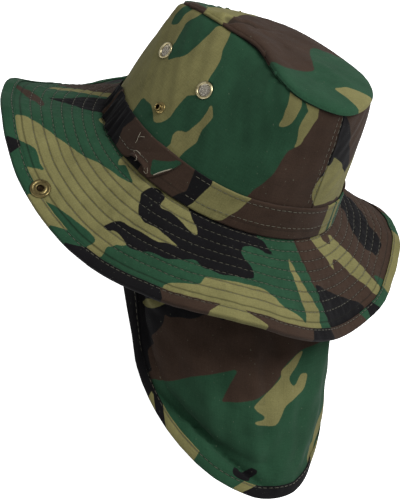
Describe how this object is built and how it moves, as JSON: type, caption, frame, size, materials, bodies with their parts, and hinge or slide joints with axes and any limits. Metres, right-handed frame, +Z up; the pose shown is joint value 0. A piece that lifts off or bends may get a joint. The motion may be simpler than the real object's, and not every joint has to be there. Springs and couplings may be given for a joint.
{
  "type": "safari hat with neck flap",
  "caption": "Cotton camouflage safari hat: dented crown with band and mesh vents, wide drooping stitched brim that snaps up, and a neck flap hanging behind.",
  "frame": {"origin": "middle of the head opening, in the level plane where the crown meets the brim; the hat sits on a head there", "axes": "+Z up the crown, -Y towards the front of the hat, +X towards the wearer's left"},
  "size_m": [0.3167, 0.3675, 0.266],
  "materials": {
    "crown_cloth": "matt printed cotton twill in woodland camouflage",
    "brim_cloth": "matt printed cotton twill, quilted with rings of stitching",
    "flap_cloth": "matt printed cotton twill",
    "binding_cloth": "matt printed cotton tape, folded and stitched",
    "aged_brass": "antique brass, darkened in the hollows and worn bright on the edges",
    "vent_mesh": "fine woven wire, dull grey"
  },
  "bodies": {
    "root": {"crown_side": "crown_cloth", "crown_tip": "crown_cloth", "hat_band": "crown_cloth", "brim": "brim_cloth", "brim_binding": "binding_cloth", "neck_flap": "flap_cloth", "flap_binding": "binding_cloth", "vent_ring_left_front": "aged_brass", "vent_screen_left_front": "vent_mesh", "vent_ring_left_back": "aged_brass", "vent_screen_left_back": "vent_mesh", "vent_ring_right_front": "aged_brass", "vent_screen_right_front": "vent_mesh", "vent_ring_right_back": "aged_brass", "vent_screen_right_back": "vent_mesh", "crown_stud_left": "aged_brass", "brim_socket_left": "aged_brass", "crown_stud_right": "aged_brass", "brim_socket_right": "aged_brass"}
  },
  "joints": []
}
